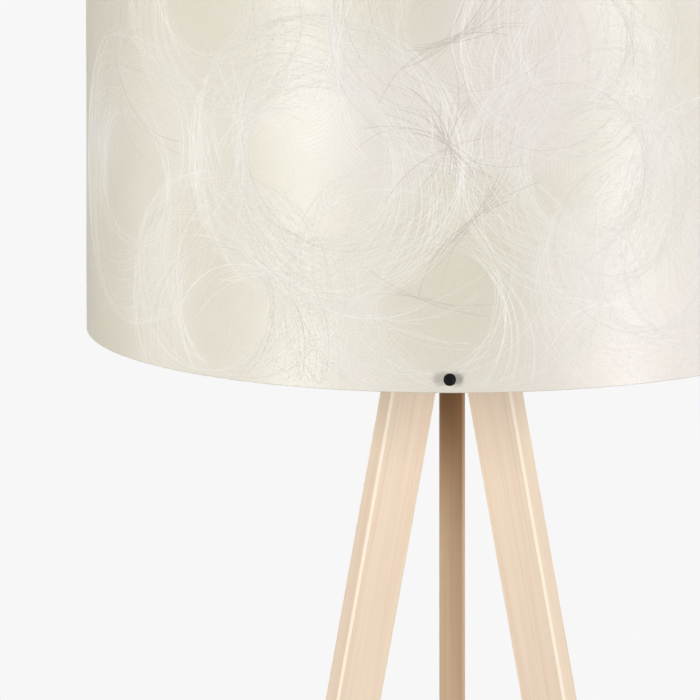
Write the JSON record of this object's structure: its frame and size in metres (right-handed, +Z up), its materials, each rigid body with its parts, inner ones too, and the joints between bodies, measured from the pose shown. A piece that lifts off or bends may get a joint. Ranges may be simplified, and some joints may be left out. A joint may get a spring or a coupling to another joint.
{
  "type": "tripod floor lamp",
  "caption": "Floor lamp: folding chamfered timber tripod under a wide drum shade of swirl-fibre laminate on a wire carrier, with a small push button at the shade's lower edge.",
  "frame": {"origin": "on the lamp's vertical axis, at the floor that the three glides stand on", "axes": "+Z up along the lamp's axis; +Y towards the rear leg, so the push button on the shade faces -Y; +X to the right as seen from the button's side"},
  "size_m": [0.6, 0.6052, 1.53],
  "materials": {
    "ash": "pale ash with a matt oil, fine straight grain",
    "black_rubber": "matt black rubber",
    "black_steel": "satin black powder coat",
    "zinc_steel": "bright zinc plating",
    "black_plastic": "black phenolic plastic",
    "cap_plastic": "matt black moulded plastic",
    "ceramic": "white glazed insulator",
    "brass": "bright brass strip",
    "bulb_metal": "rolled aluminium screw cap",
    "opal_glass": "opal white glass",
    "laminate": "off-white swirl-fibre paper laminated to film, satin",
    "white_wire": "off-white powder coat on steel wire",
    "lead_plastic": "pale grey cable sheath"
  },
  "bodies": {
    "head": {"hub_plate": "black_steel", "cord_grommet": "black_rubber", "leg_bracket_rear": "black_steel", "leg_bracket_front_left": "black_steel", "leg_bracket_front_right": "black_steel", "pivot_bolt_rear": "zinc_steel", "pivot_bolt_front_left": "zinc_steel", "pivot_bolt_front_right": "zinc_steel", "pivot_nut_rear": "zinc_steel", "pivot_nut_front_left": "zinc_steel", "pivot_nut_front_right": "zinc_steel", "inner_plate_screw_rear": "zinc_steel", "inner_plate_screw_front_left": "zinc_steel", "inner_plate_screw_front_right": "zinc_steel", "outer_plate_screw_rear": "zinc_steel", "outer_plate_screw_front_left": "zinc_steel", "outer_plate_screw_front_right": "zinc_steel", "holder_nipple": "zinc_steel", "holder_locknut": "zinc_steel", "lampholder_base": "black_plastic", "lampholder_insert": "ceramic", "centre_contact": "brass", "side_contact": "brass", "lampholder_skirt": "black_plastic", "shade_nut": "black_plastic", "bulb_tip": "brass", "bulb_cap": "bulb_metal", "bulb_glass": "opal_glass", "shade_carrier": "white_wire", "shade_sheet": "laminate", "lower_ring": "white_wire", "upper_ring": "white_wire", "shade_screw_right": "cap_plastic", "shade_screw_left": "cap_plastic", "switch_body": "cap_plastic", "switch_nut": "zinc_steel", "switch_lead": "lead_plastic", "lead_clip_1": "black_rubber", "lead_clip_2": "black_rubber"},
    "rear_leg": {"leg_rear": "ash", "glide_rear": "black_rubber"},
    "front_left_leg": {"leg_front_left": "ash", "glide_front_left": "black_rubber"},
    "front_right_leg": {"leg_front_right": "ash", "glide_front_right": "black_rubber"},
    "button": {"switch_button": "cap_plastic"}
  },
  "joints": [
    {"name": "rear_leg_fold", "type": "hinge", "parent": "head", "child": "rear_leg", "pos_m": [0, 0.03402, 1.1344], "axis": [-1, 0, 0], "range_deg": [0, 11.6]},
    {"name": "front_left_leg_fold", "type": "hinge", "parent": "head", "child": "front_left_leg", "pos_m": [-0.02946, -0.01701, 1.1344], "axis": [0.5, -0.866, 0], "range_deg": [0, 11.6]},
    {"name": "front_right_leg_fold", "type": "hinge", "parent": "head", "child": "front_right_leg", "pos_m": [0.02946, -0.01701, 1.1344], "axis": [0.5, 0.866, 0], "range_deg": [0, 11.6]},
    {"name": "button_press", "type": "slide", "parent": "head", "child": "button", "axis": [0, 1, 0], "range_m": [0, 0.0012], "stiffness_N_per_m": 1500, "springref_m": -0.001}
  ]
}
